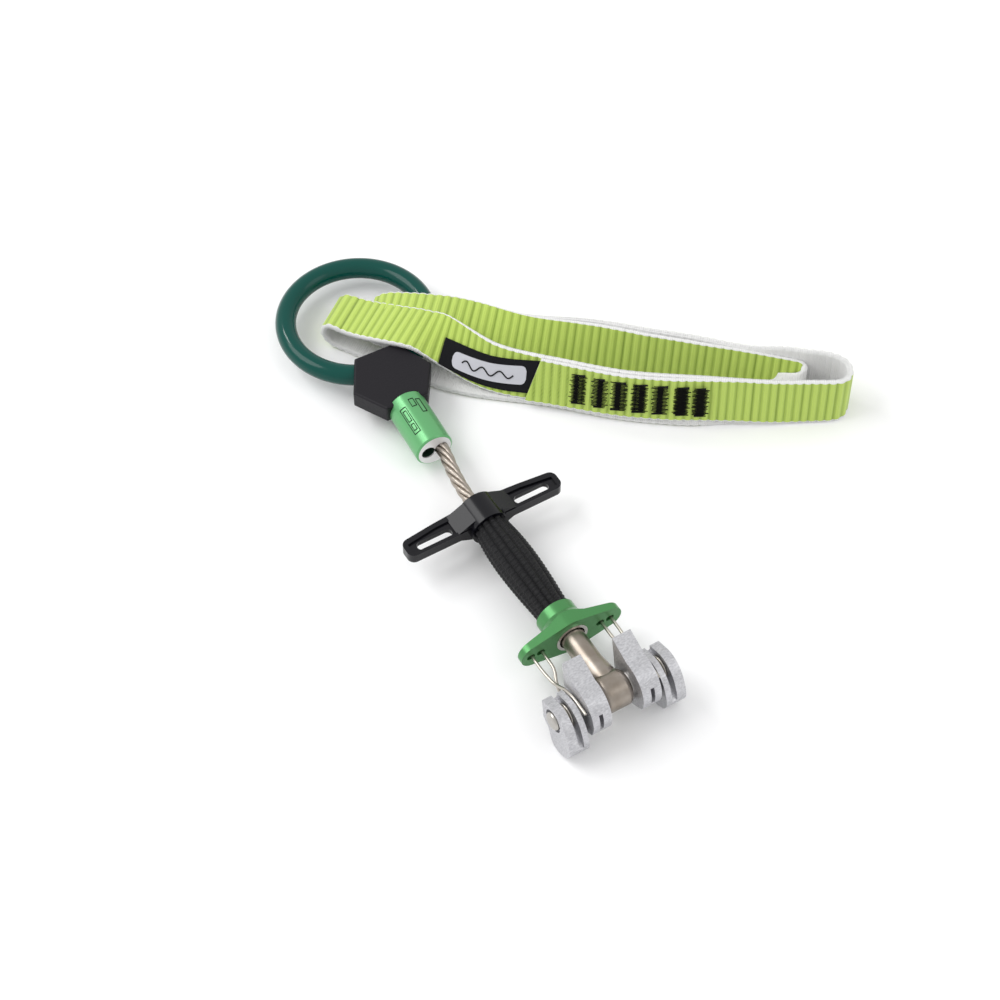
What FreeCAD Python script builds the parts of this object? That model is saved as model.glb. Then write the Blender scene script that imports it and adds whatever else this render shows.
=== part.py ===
import FreeCAD, Part
import math
import os

import Sketcher
from FreeCAD import Placement, Rotation, Vector

# A four-cam climbing cam. The axle lies on X through the origin, the stem runs along +Y
# from the axle to the thumb loop, and +Z is up. The two inner cams point up and the two
# outer cams point down. Lengths are in millimetres and angles in degrees.

SIZES = {
    # stem cable, which also makes the thumb loop
    "cable_radius": 1.75,
    "cable_start": 4.0,
    "bend_start": 64.0,
    "bend_radius": 66.0,
    "bend_angle": 12.0,
    "bend_run": 1.5,
    "rebend_radius": 22.0,
    "loop_tilt": 3.0,
    "leg_offset": 1.8,
    "leg_end": 6.0,
    "loop_centre": 47.8,
    "loop_shift": 1.6,
    "loop_radius": 18.5,
    "loop_leave_right": 14.0,
    "loop_leave_left": 22.0,
    "sleeve_radius": 2.7,
    "sleeve_from_right": 16.0,
    "sleeve_from_left": 25.5,
    # ferrule and yoke
    "ferrule_radius": 5.0,
    "ferrule_length": 16.6,
    "ferrule_chamfer": 0.4,
    "channel_radius": 1.82,
    "yoke_bottom": 15.0,
    "yoke_shoulder": 23.6,
    "yoke_top": 33.8,
    "yoke_top_half": 5.8,
    "yoke_shoulder_half": 11.0,
    "yoke_bottom_half": 5.8,
    "yoke_half_height": 3.4,
    "yoke_edge": 0.6,
    "yoke_under_bevel": 2.0,
    # stem end fitting and axle
    "fitting_radius": 3.05,
    "fitting_length": 22.0,
    "hub_radius": 4.6,
    "hub_half": 3.9,
    "hub_round": 1.8,
    "spacer_radius": 3.2,
    "axle_radius": 1.9,
    "axle_half": 15.25,
    "axle_play": 0.06,
    "head_radius": 2.4,
    "head_height": 1.5,
    # cams
    "inner_near": 4.3,
    "inner_width": 5.0,
    "outer_near": 10.6,
    "outer_width": 5.4,
    "coil_room": 3.1,
    "inner_slot_near": 6.5,
    "inner_slot_width": 1.0,
    "outer_slot_near": 12.1,
    "outer_slot_width": 1.4,
    "recess_radius": 3.0,
    "recess_depth": 0.8,
    "eye_radius": 0.6,
    "eye_reach": 5.6,
    "eye_angle": 140.0,
    # springs
    "spring_wire": 0.28,
    "spring_radius": 2.6,
    "spring_pitch": 0.6,
    "spring_turns": 1.4,
    "spring_leg": 3.2,
    # wire plate and its bush
    "plate_front": 17.6,
    "plate_back": 25.2,
    "plate_edge": 1.7,
    "plate_root": 2.6,
    "plate_collar": 5.1,
    "plate_middle": 5.8,
    "wing_reach": 10.4,
    "wing_radius": 3.4,
    "wire_hole": 0.8,
    "inner_hole": 8.2,
    "outer_hole": 10.9,
    "bush_outer": 4.25,
    "bush_inner": 3.45,
    "bush_front": 17.3,
    "bush_length": 4.8,
    "bulkhead": 22.3,
    "bulkhead_bore": 2.0,
    "pull_offset": 3.15,
    "pull_radius": 0.4,
    "sheath_seat": 23.4,
    # sheath and trigger bar
    "sheath_end_radius": 4.15,
    "sheath_mid_radius": 5.2,
    "sheath_wall": 0.5,
    "bar_front": 56.0,
    "bar_back": 62.8,
    "bar_half": 21.6,
    "bar_tip_back": 61.3,
    "bar_mid_reach": 12.0,
    "bar_mid_back": 62.3,
    "bar_half_height": 1.35,
    "web_half_height": 0.75,
    "rim_width": 1.3,
    "pocket_inner": 6.6,
    "finger_slot_centre": 13.7,
    "finger_slot_length": 9.6,
    "finger_slot_width": 2.6,
    "finger_slot_front": 57.1,
    "boss_radius": 5.1,
    "boss_front": 54.8,
    "bar_bore": 2.45,
    "bar_seat_depth": 2.4,
    # trigger wires
    "wire_radius": 0.4,
    "wire_gap": 9.95,
    # sling
    "web_width": 13.0,
    "web_thickness": 1.7,
    "label_width": 12.4,
    "label_thickness": 0.5,
}

doc = FreeCAD.newDocument("climbing_cam")
sheet = doc.addObject("Spreadsheet::Sheet", "dims")
for row, (alias, value) in enumerate(SIZES.items(), start=1):
    sheet.set(f"A{row}", alias)
    sheet.set(f"B{row}", str(value))
    sheet.setAlias(f"B{row}", alias)
doc.recompute()

nodes = []


def size(alias):
    return float(sheet.get(alias))


def node(obj, label):
    obj.Label = label
    nodes.append(obj)
    return obj


def bind(obj, **expressions):
    for name, expression in expressions.items():
        obj.setExpression(name.replace("_at_", "."), expression)
    return obj


def place(obj, x="0", y="0", z="0"):
    for axis, expression in zip("xyz", (x, y, z)):
        obj.setExpression(f"Placement.Base.{axis}", expression)
    return obj


def solid(kind, name, x="0", y="0", z="0", turn=None, **expressions):
    """A Part primitive whose sizes and place follow the sheet."""
    obj = doc.addObject(kind, name)
    if turn:
        obj.Placement.Rotation = turn
    bind(obj, **expressions)
    return place(obj, x, y, z)


ALONG_X = Rotation(Vector(0, 1, 0), 90)
ALONG_Y = Rotation(Vector(1, 0, 0), -90)


def rod_x(name, radius, length, x="0", y="0", z="0"):
    return solid("Part::Cylinder", name, x, y, z, ALONG_X, Radius=radius, Height=length)


def rod_y(name, radius, length, x="0", y="0", z="0"):
    return solid("Part::Cylinder", name, x, y, z, ALONG_Y, Radius=radius, Height=length)


def cone_y(name, foot, top, length, y):
    return solid("Part::Cone", name, "0", y, "0", ALONG_Y, Radius1=foot, Radius2=top, Height=length)


def join(name, *shapes):
    obj = doc.addObject("Part::MultiFuse", name)
    obj.Shapes = list(shapes)
    obj.Refine = True
    return obj


def cut(name, base, *tools):
    tool = tools[0] if len(tools) == 1 else join(f"{name}_tools", *tools)
    obj = doc.addObject("Part::Cut", name)
    obj.Base = base
    obj.Tool = tool
    obj.Refine = True
    return obj


def feature(name, shape):
    obj = doc.addObject("Part::Feature", name)
    obj.Shape = shape
    return obj


def new_body(name):
    return doc.addObject("PartDesign::Body", name)


def sketch_on(body, role, name, offset=None):
    sketch = body.newObject("Sketcher::SketchObject", name)
    plane = next(f for f in body.Origin.OriginFeatures if f.Role == role)
    sketch.AttachmentSupport = [(plane, "")]
    sketch.MapMode = "FlatFace"
    if offset:
        sketch.setExpression("AttachmentOffset.Base.z", offset)
    return sketch


def constrain(sketch, kind, *where, to):
    index = sketch.addConstraint(Sketcher.Constraint(kind, *where, 1.0))
    sketch.setExpression(f"Constraints[{index}]", to)


def circle(sketch, radius, x="0", y="0"):
    index = sketch.addGeometry(Part.Circle(Vector(1, 1, 0), Vector(0, 0, 1), 1.0))
    constrain(sketch, "Radius", index, to=radius)
    constrain(sketch, "DistanceX", -1, 1, index, 3, to=x)
    constrain(sketch, "DistanceY", -1, 1, index, 3, to=y)


def outline(sketch, points):
    """A closed outline of straight sides through points given as sheet expressions."""
    count = len(points)
    corner = [Vector(math.cos(6.28 * i / count), math.sin(6.28 * i / count), 0) for i in range(count)]
    first = sketch.GeometryCount
    for i in range(count):
        sketch.addGeometry(Part.LineSegment(corner[i], corner[(i + 1) % count]))
    for i in range(count):
        after = first + (i + 1) % count
        sketch.addConstraint(Sketcher.Constraint("Coincident", first + i, 2, after, 1))
    for i, (x, y) in enumerate(points):
        constrain(sketch, "DistanceX", -1, 1, first + i, 1, to=x)
        constrain(sketch, "DistanceY", -1, 1, first + i, 1, to=y)


def pad(body, sketch, length, name, midplane=False, reverse=False):
    obj = body.newObject("PartDesign::Pad", name)
    obj.Profile = sketch
    obj.SideType = "Symmetric" if midplane else "One side"
    obj.Reversed = reverse
    obj.setExpression("Length", length)
    body.Tip = obj
    return obj


def pocket(body, sketch, length, name, midplane=False, reverse=False):
    before = body.Shape.Volume
    obj = body.newObject("PartDesign::Pocket", name)
    obj.Profile = sketch
    obj.SideType = "Symmetric" if midplane else "One side"
    obj.Reversed = reverse
    obj.setExpression("Length", length)
    body.Tip = obj
    doc.recompute()
    if body.Shape.Volume > before - 1e-3:
        raise RuntimeError(f"{name} cuts nothing")
    return obj


def edges_where(shape, test):
    return [f"Edge{i}" for i, edge in enumerate(shape.Edges, start=1) if test(edge)]


def dress(body, kind, name, test, **expressions):
    """A fillet or chamfer on the edges that the test picks."""
    doc.recompute()
    base = body.Tip
    obj = body.newObject(kind, name)
    obj.Base = (base, edges_where(base.Shape, test))
    bind(obj, **expressions)
    body.Tip = obj
    return obj


def parallel_to(axis):
    def test(edge):
        if len(edge.Vertexes) < 2:
            return False
        run = edge.Vertexes[-1].Point - edge.Vertexes[0].Point
        return run.Length > 1e-6 and run.cross(axis).Length < 1e-6 * run.Length

    return test


# ---------------------------------------------------------------- stem cable and loop


def turn_point(point, heading, radius, angle):
    """The middle and end of an arc that leaves point at heading and turns right by angle."""
    side = math.copysign(1, angle)
    centre = point + side * radius * Vector(math.cos(heading), -math.sin(heading), 0)
    spots = []
    for share in (0.5, 1.0):
        h = heading + share * math.radians(angle)
        spots.append(centre - side * radius * Vector(math.cos(h), -math.sin(h), 0))
    return spots


def ahead(point, heading, length):
    return point + length * Vector(math.sin(heading), math.cos(heading), 0)


tilt = math.radians(size("loop_tilt"))
bend = math.radians(size("bend_angle"))
stem_start = Vector(0, size("cable_start"), 0)
stem_bend = Vector(0, size("bend_start"), 0)
bend_mid, bend_end = turn_point(stem_bend, 0, size("bend_radius"), size("bend_angle"))
rebend = ahead(bend_end, bend, size("bend_run"))
rebend_mid, ferrule_mouth = turn_point(
    rebend, bend, size("rebend_radius"), size("loop_tilt") - size("bend_angle")
)
loop_place = Placement(
    ferrule_mouth - size("leg_offset") * Vector(math.cos(tilt), -math.sin(tilt), 0),
    Rotation(Vector(0, 0, 1), -size("loop_tilt")),
)


def on_loop(x, y):
    return loop_place.multVec(Vector(x, y, 0))


def loop_point(angle):
    """A point of the loop's round part, by its angle from the end nearest the ferrule."""
    radius = size("loop_radius")
    across = size("loop_shift") + radius * math.sin(angle)
    return on_loop(across, size("loop_centre") - radius * math.cos(angle))


def leg(side, leave):
    """The start and middle of the arc that joins a straight leg to the loop's round part."""
    across = side * size("loop_shift") + size("loop_radius") * math.sin(leave) - size("leg_offset")
    radius = across / (1 - math.sin(leave))
    rise = size("loop_centre") - (size("loop_radius") + radius) * math.cos(leave)
    half = (math.pi / 2 - leave) / 2
    start = on_loop(side * size("leg_offset"), rise)
    middle_across = side * (size("leg_offset") + radius * (1 - math.cos(half)))
    return start, on_loop(middle_across, rise + radius * math.sin(half))


def tube_along(edges, start, direction, radius):
    section = Part.Wire(Part.Circle(start, direction, radius).toShape())
    return Part.Wire(edges).makePipeShell([section], True, True)


leave_right = math.radians(size("loop_leave_right"))
leave_left = math.radians(size("loop_leave_left"))
right_start, right_middle = leg(1, leave_right)
left_start, left_middle = leg(-1, leave_left)
foot = on_loop(-size("leg_offset"), size("leg_end"))
stem_edges = [
    Part.LineSegment(stem_start, stem_bend).toShape(),
    Part.Arc(stem_bend, bend_mid, bend_end).toShape(),
    Part.LineSegment(bend_end, rebend).toShape(),
    Part.Arc(rebend, rebend_mid, ferrule_mouth).toShape(),
    Part.LineSegment(ferrule_mouth, right_start).toShape(),
    Part.Arc(right_start, right_middle, loop_point(leave_right)).toShape(),
    Part.Arc(loop_point(leave_right), loop_point(math.pi), loop_point(-leave_left)).toShape(),
    Part.Arc(loop_point(-leave_left), left_middle, left_start).toShape(),
    Part.LineSegment(left_start, foot).toShape(),
]
stem_cable = tube_along(stem_edges, stem_start, Vector(0, 1, 0), size("cable_radius"))
node(feature("stem_cable_strand", stem_cable), "stem_cable")

sleeve_from = math.radians(size("sleeve_from_right"))
sleeve_to = -math.radians(size("sleeve_from_left"))
sleeve_axis = Part.Arc(loop_point(sleeve_from), loop_point(math.pi), loop_point(sleeve_to)).toShape()
sleeve_turn = sleeve_from - tilt
sleeve_heading = Vector(math.cos(sleeve_turn), math.sin(sleeve_turn), 0)
sleeve = tube_along([sleeve_axis], loop_point(sleeve_from), sleeve_heading, size("sleeve_radius"))
sleeve_bore = tube_along([sleeve_axis], loop_point(sleeve_from), sleeve_heading, size("cable_radius"))
node(feature("sleeve_tube", sleeve.cut(sleeve_bore)), "thumb_loop_sleeve")

# ---------------------------------------------------------------- ferrule

ferrule = new_body("ferrule")
pad(ferrule, sketch_on(ferrule, "XZ_Plane", "ferrule_ring"), "dims.ferrule_length", "ferrule_barrel", reverse=True)
circle(doc.ferrule_ring, "dims.ferrule_radius")
dress(
    ferrule, "PartDesign::Chamfer", "ferrule_rims", lambda e: len(e.Vertexes) == 1, Size="dims.ferrule_chamfer"
)
doc.recompute()
for side, sign in (("right", ""), ("left", "-")):
    channel = sketch_on(ferrule, "XZ_Plane", f"ferrule_channel_{side}")
    circle(channel, "dims.channel_radius", f"{sign}dims.leg_offset")
    pocket(ferrule, channel, "dims.ferrule_length", f"ferrule_bore_{side}")
ferrule.Placement = loop_place
node(ferrule, "ferrule")

# ---------------------------------------------------------------- yoke

yoke_shield = new_body("yoke_shield")
shield = sketch_on(yoke_shield, "XY_Plane", "shield_outline")
outline(
    shield,
    [
        ("dims.yoke_bottom_half", "dims.yoke_bottom"),
        ("dims.yoke_shoulder_half", "dims.yoke_shoulder"),
        ("dims.yoke_top_half", "dims.yoke_top"),
        ("-dims.yoke_top_half", "dims.yoke_top"),
        ("-dims.yoke_shoulder_half", "dims.yoke_shoulder"),
        ("-dims.yoke_bottom_half", "dims.yoke_bottom"),
    ],
)
pad(yoke_shield, shield, "2 * dims.yoke_half_height", "shield_block", midplane=True)
dress(
    yoke_shield,
    "PartDesign::Chamfer",
    "shield_under_bevel",
    lambda e: abs(e.CenterOfMass.z + size("yoke_half_height")) < 1e-6,
    Size="dims.yoke_under_bevel",
)
dress(
    yoke_shield,
    "PartDesign::Fillet",
    "shield_edges",
    lambda e: abs(e.CenterOfMass.z - size("yoke_half_height")) < 1e-6 or parallel_to(Vector(0, 0, 1))(e),
    Radius="dims.yoke_edge",
)
yoke_shield.Placement = loop_place
ferrule_seat = feature(
    "ferrule_seat",
    Part.makeCylinder(size("ferrule_radius"), size("ferrule_length"), Vector(), Vector(0, 1, 0)),
)
ferrule_seat.Placement = loop_place
cable_room = tube_along(stem_edges[4:], ferrule_mouth, Vector(math.sin(tilt), math.cos(tilt), 0), size("cable_radius"))
sleeve_room = tube_along([sleeve_axis], loop_point(sleeve_from), sleeve_heading, size("sleeve_radius"))
node(
    cut(
        "yoke_cut",
        yoke_shield,
        ferrule_seat,
        feature("yoke_cable_room", cable_room),
        feature("yoke_sleeve_room", sleeve_room),
    ),
    "yoke",
)

# ---------------------------------------------------------------- stem end fitting

fitting = new_body("fitting_body")
tube = sketch_on(fitting, "XZ_Plane", "fitting_ring")
circle(tube, "dims.fitting_radius")
pad(fitting, tube, "dims.fitting_length", "fitting_tube", reverse=True)
hub = sketch_on(fitting, "YZ_Plane", "fitting_hub_ring")
circle(hub, "dims.hub_radius")
pad(fitting, hub, "2 * dims.hub_half", "fitting_hub", midplane=True)
dress(
    fitting,
    "PartDesign::Fillet",
    "fitting_hub_rims",
    lambda e: abs(abs(e.CenterOfMass.x) - size("hub_half")) < 1e-6,
    Radius="dims.hub_round",
)
doc.recompute()
axle_hole = sketch_on(fitting, "YZ_Plane", "fitting_axle_hole")
circle(axle_hole, "dims.axle_radius")
pocket(fitting, axle_hole, "4 * dims.hub_half", "fitting_axle_bore", midplane=True)
cable_hole = sketch_on(fitting, "XZ_Plane", "fitting_cable_hole", "-dims.cable_start")
circle(cable_hole, "dims.cable_radius")
pocket(fitting, cable_hole, "dims.fitting_length", "fitting_cable_bore")
neck = cone_y("fitting_neck", "dims.hub_half - 0.1", "dims.fitting_radius", "6.5", "2.6")
neck_bore = rod_y("fitting_neck_bore", "dims.cable_radius", "20", y="dims.cable_start")
node(cut("fitting_bored", join("fitting_whole", fitting, neck), neck_bore), "stem_end_fitting")

# ---------------------------------------------------------------- axle, heads, spacers

node(rod_x("axle_rod", "dims.axle_radius", "2 * dims.axle_half", "-dims.axle_half"), "axle")
for side, sign in (("right", 1), ("left", -1)):
    start = "dims.axle_half" if sign > 0 else "-dims.axle_half - dims.head_height"
    disc = rod_x(f"head_disc_{side}", "dims.head_radius", "dims.head_height", start)
    head = doc.addObject("Part::Fillet", f"head_{side}")
    head.Base = disc
    doc.recompute()
    rim = [
        i
        for i, edge in enumerate(disc.Shape.Edges, start=1)
        if len(edge.Vertexes) == 1 and abs(edge.CenterOfMass.x) > size("axle_half") + 0.1
    ]
    rounding = size("head_height") * 0.6
    head.Edges = [(i, rounding, rounding) for i in rim]
    node(head, f"axle_head_{side}")
    start = "dims.hub_half" if sign > 0 else "-dims.inner_near + 0.05"
    ring = rod_x(f"spacer_disc_{side}", "dims.spacer_radius", "dims.inner_near - dims.hub_half - 0.05", start)
    bore = rod_x(f"spacer_bore_{side}", "dims.axle_radius", "dims.inner_near", f"{start} - 1")
    node(cut(f"spacer_ring_{side}", ring, bore), f"spacer_{side}")

# ---------------------------------------------------------------- cams


def cam_point(angle, radius, up):
    a = math.radians(angle)
    return Vector(0, radius * math.cos(a), up * radius * math.sin(a))


def cam_face(corners, rim, up):
    """The side view of a cam: straight sides through the corners and one smooth rim."""
    spots = [Vector(0, y, up * z) for y, z in corners]
    curve = Part.BSplineCurve()
    curve.interpolate([Vector(0, y, up * z) for y, z in rim])
    edges = [curve.toShape(), Part.LineSegment(curve.EndPoint, spots[0]).toShape()]
    for before, after in zip(spots, spots[1:]):
        edges.append(Part.LineSegment(before, after).toShape())
    edges.append(Part.LineSegment(spots[-1], curve.StartPoint).toShape())
    return Part.Face(Part.Wire(edges))


# Corners run from the rim's lower end under the axle to the tip; z is up for an upward cam.
INNER_RIM = [(0.9, 6.9), (-2.3, 6.6), (-5.3, 4.5), (-6.8, 1.2), (-6.8, -1.2), (-6.3, -3.0)]
INNER_CORNERS = [(-2.6, -5.4), (2.2, -5.0), (5.5, -1.2), (7.35, 9.2)]
OUTER_RIM = [(0.9, -3.7), (-2.5, -3.4), (-4.9, -1.7), (-6.5, 0.9), (-7.4, 3.9), (-7.0, 6.5), (-5.2, 8.4)]
OUTER_CORNERS = [(-2.8, 9.6), (-0.6, 9.5), (0.6, 8.2), (1.8, 5.4), (4.2, 3.4), (5.0, -2.2)]


def ring_sector(inner, outer, low, high):
    """The side view of a rim slot: a ring's stretch from one angle to another."""
    middle = (low + high) / 2
    edges = [
        Part.Arc(*[cam_point(a, inner, 1) for a in (low, middle, high)]).toShape(),
        Part.LineSegment(cam_point(high, inner, 1), cam_point(high, outer, 1)).toShape(),
        Part.Arc(*[cam_point(a, outer, 1) for a in (high, middle, low)]).toShape(),
        Part.LineSegment(cam_point(low, outer, 1), cam_point(low, inner, 1)).toShape(),
    ]
    return Part.Face(Part.Wire(edges))


def extrude_x(name, face, length, x):
    obj = doc.addObject("Part::Extrusion", name)
    obj.Base = face
    obj.DirMode = "Custom"
    obj.Dir = Vector(1, 0, 0)
    obj.Solid = True
    obj.setExpression("LengthFwd", length)
    return place(obj, x)


def span(sign, near, width):
    """Where a length along +X starts, for a stretch on the given side of the stem."""
    return f"{near}" if sign > 0 else f"-({near}) - ({width})"


inner_profile = feature("inner_cam_outline", cam_face(INNER_CORNERS, INNER_RIM, 1))
outer_profile = feature("outer_cam_outline", cam_face(OUTER_CORNERS, OUTER_RIM, -1))
inner_slot = feature("inner_slot_outline", ring_sector(4.4, 12, 150, 192))
outer_slot = feature("outer_slot_outline", ring_sector(3.0, 14, 10, 212))
for row, up, profile, slot in (
    ("inner", 1, inner_profile, inner_slot),
    ("outer", -1, outer_profile, outer_slot),
):
    for side, sign in (("right", 1), ("left", -1)):
        name = f"{row}_cam_{side}"
        width = f"dims.{row}_width"
        slot_width = f"dims.{row}_slot_width"
        slot_start = span(sign, f"dims.{row}_slot_near", slot_width)
        block = extrude_x(f"{name}_block", profile, width, span(sign, f"dims.{row}_near", width))
        eye = cam_point(size("eye_angle"), size("eye_reach"), up)
        eye_near = "dims.inner_near + dims.inner_width - 1.6" if row == "inner" else "dims.outer_near - 1"
        tools = [
            rod_x(f"{name}_bore", "dims.axle_radius + dims.axle_play", "40", "-20"),
            extrude_x(f"{name}_slot", slot, slot_width, slot_start),
            rod_x(f"{name}_eye", "dims.eye_radius", "2.6", span(sign, eye_near, "2.6"), f"{eye.y}", f"{eye.z}"),
        ]
        if row == "outer":
            recess = "dims.outer_near + dims.outer_width - dims.recess_depth"
            tools.append(rod_x(f"{name}_recess", "dims.recess_radius", "2", span(sign, recess, "2")))
            tools.append(rod_x(f"{name}_coil_room", "dims.coil_room", slot_width, slot_start))
        node(cut(f"{name}_cut", block, *tools), name)

# ---------------------------------------------------------------- springs


def spring(middle, side):
    """A coil round the axle, with one straight leg lying in the slot."""
    pitch = size("spring_pitch")
    height = pitch * size("spring_turns")
    coil = Part.makeHelix(pitch, height, size("spring_radius"))
    coil.rotate(Vector(), Vector(0, 1, 0), 90)
    coil.rotate(Vector(), Vector(1, 0, 0), 150 if side > 0 else 130)
    coil.translate(Vector(middle - height / 2, 0, 0))
    first, last = coil.Edges[0], coil.Edges[-1]
    end = last.valueAt(last.LastParameter)
    tangent = last.tangentAt(last.LastParameter)
    run = Part.LineSegment(end, end + size("spring_leg") * tangent).toShape()
    begin = first.valueAt(first.FirstParameter)
    ring = Part.Circle(begin, first.tangentAt(first.FirstParameter), size("spring_wire"))
    section = Part.Wire(ring.toShape())
    return Part.Wire(coil.Edges + [run]).makePipeShell([section], True, True)


for side, sign in (("right", 1), ("left", -1)):
    middle = sign * (size("outer_slot_near") + size("outer_slot_width") / 2)
    node(feature(f"spring_{side}_coil", spring(middle, sign)), f"cam_spring_{side}")

# ---------------------------------------------------------------- wire plate and bush

wing = new_body("plate_plan")
plan = sketch_on(wing, "XY_Plane", "plate_plan_outline")
tip_x = "dims.wing_reach + dims.wing_radius"
plan_points = [
    (tip_x, "dims.plate_front"),
    (tip_x, "dims.plate_front + dims.plate_edge"),
    ("dims.plate_collar", "dims.plate_front + dims.plate_root"),
]
outline(plan, plan_points + [(f"-({x})", y) for x, y in reversed(plan_points)])
pad(wing, plan, "4 * dims.plate_collar", "plate_plan_block", midplane=True)
front = new_body("plate_front_view")
for name, radius, x in (
    ("mid", "dims.plate_middle", "0"),
    ("right", "dims.wing_radius", "dims.wing_reach"),
    ("left", "dims.wing_radius", "-dims.wing_reach"),
):
    ring = sketch_on(front, "XZ_Plane", f"plate_{name}_ring", "-dims.plate_front")
    circle(ring, radius, x)
    pad(front, ring, "dims.plate_back - dims.plate_front", f"plate_{name}_disc", reverse=True)
    doc.recompute()
# The straight sides of the wings touch the middle and tip circles.
slope = "asin((dims.plate_middle - dims.wing_radius) / dims.wing_reach)"
for name, sign in (("right", ""), ("left", "-")):
    side = sketch_on(front, "XZ_Plane", f"plate_{name}_side", "-dims.plate_front")
    upper = [
        (f"{sign}dims.plate_middle * sin({slope})", f"dims.plate_middle * cos({slope})"),
        (
            f"{sign}(dims.wing_reach + dims.wing_radius * sin({slope}))",
            f"dims.wing_radius * cos({slope})",
        ),
    ]
    lower = [(x, f"-{z}") for x, z in reversed(upper)]
    outline(side, upper + lower)
    pad(front, side, "dims.plate_back - dims.plate_front", f"plate_{name}_wing", reverse=True)
    doc.recompute()

plate_common = doc.addObject("Part::MultiCommon", "plate_wings")
plate_common.Shapes = [wing, front]
collar = rod_y("plate_collar_rod", "dims.plate_collar", "dims.plate_back - dims.plate_front", y="dims.plate_front")
flare_root = "dims.plate_front + dims.plate_root"
flares = []
for name, foot, top, start, height in (
    ("low", "dims.plate_collar + 2.6", "dims.plate_collar + 1.0", f"{flare_root} - 0.6", "1.2"),
    ("high", "dims.plate_collar + 1.0", "dims.plate_collar", f"{flare_root} + 0.6", "1.6"),
):
    cone = cone_y(f"plate_flare_{name}", foot, top, height, start)
    common = doc.addObject("Part::MultiCommon", f"plate_flare_{name}_trim")
    common.Shapes = [cone, front]
    flares.append(common)
plate_tools = [
    rod_y("plate_bush_seat", "dims.bush_outer", "dims.bulkhead - dims.plate_front + 1", y="dims.plate_front - 1"),
    rod_y("plate_cable_bore", "dims.bulkhead_bore", "20", y="dims.plate_front"),
    rod_y("plate_sheath_seat", "dims.sheath_end_radius", "10", y="dims.sheath_seat"),
]
for side, sign in (("right", ""), ("left", "-")):
    pull = rod_y(f"plate_pull_{side}", "dims.pull_radius", "20", y="dims.plate_front", z=f"{sign}dims.pull_offset")
    plate_tools.append(pull)
    for row in ("inner", "outer"):
        at = f"{sign}dims.{row}_hole"
        plate_tools.append(rod_y(f"plate_{row}_hole_{side}", "dims.wire_hole", "20", at, "dims.plate_front - 5"))
        second = rod_y(f"plate_{row}_notch_{side}", "dims.wire_hole", "2", f"{at} - 0.6", "dims.plate_front - 1")
        plate_tools.append(second)
node(cut("plate_cut", join("plate_whole", plate_common, collar, *flares), *plate_tools), "wire_plate")

bush_rod = rod_y("bush_rod", "dims.bush_outer", "dims.bush_length", y="dims.bush_front")
bush_bore = rod_y("bush_bore", "dims.bush_inner", "20", y="dims.bush_front - 1")
node(cut("bush_ring", bush_rod, bush_bore), "plate_bush")

# ---------------------------------------------------------------- sheath


def sheath_profile(extra):
    """One side of the sheath's wall, from the wire plate to the trigger bar."""
    low, high = size("sheath_seat"), size("boss_front") + size("bar_seat_depth")
    ends, middle = size("sheath_end_radius") - extra, size("sheath_mid_radius") - extra
    spots = [(low, ends), (low + 4, ends), ((low + high) / 2 + 3, middle), (high - 2.4, ends), (high, ends)]
    curve = Part.BSplineCurve()
    curve.interpolate([Vector(radius, y, 0) for y, radius in spots])
    return curve


def revolved_sheath(extra):
    curve = sheath_profile(extra)
    first, last = curve.StartPoint, curve.EndPoint
    edges = [
        curve.toShape(),
        Part.LineSegment(last, Vector(0, last.y, 0)).toShape(),
        Part.LineSegment(Vector(0, last.y, 0), Vector(0, first.y, 0)).toShape(),
        Part.LineSegment(Vector(0, first.y, 0), first).toShape(),
    ]
    return Part.Face(Part.Wire(edges)).revolve(Vector(), Vector(0, 1, 0), 360)


sheath_shape = revolved_sheath(0).cut(revolved_sheath(size("sheath_wall")))
node(feature("sheath_tube", sheath_shape), "trigger_sheath")

# ---------------------------------------------------------------- trigger bar

bar = new_body("trigger_bar_body")
bar_plan = sketch_on(bar, "XY_Plane", "bar_outline")
bar_side = [
    ("dims.bar_half", "dims.bar_front"),
    ("dims.bar_half", "dims.bar_tip_back"),
    ("dims.bar_mid_reach", "dims.bar_mid_back"),
    ("dims.boss_radius", "dims.bar_back"),
]
outline(bar_plan, bar_side + [(f"-{x}", y) for x, y in reversed(bar_side)])
pad(bar, bar_plan, "2 * dims.bar_half_height", "bar_block", midplane=True)
dress(
    bar,
    "PartDesign::Fillet",
    "bar_tips",
    lambda e: parallel_to(Vector(0, 0, 1))(e) and abs(e.CenterOfMass.x) > size("bar_half") - 0.1,
    Radius="1.9",
)
doc.recompute()
for level, sign in (("upper", 1), ("lower", -1)):
    start = "dims.web_half_height" if sign > 0 else "-dims.web_half_height"
    for side, way in (("right", ""), ("left", "-")):
        hollow = sketch_on(bar, "XY_Plane", f"bar_{level}_{side}_hollow", start)
        corners = [
            (f"{way}dims.pocket_inner", "dims.bar_front + dims.rim_width - 0.3"),
            (f"{way}(dims.bar_half - dims.rim_width)", "dims.bar_front + dims.rim_width - 0.3"),
            (f"{way}(dims.bar_half - dims.rim_width)", "dims.bar_tip_back - dims.rim_width - 0.1"),
            (f"{way}dims.bar_mid_reach", "dims.bar_mid_back - dims.rim_width"),
            (f"{way}dims.pocket_inner", "dims.bar_back - dims.rim_width - 0.4"),
        ]
        outline(hollow, corners)
        pocket(bar, hollow, "dims.bar_half_height", f"bar_{level}_{side}_pocket", reverse=sign > 0)
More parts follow.
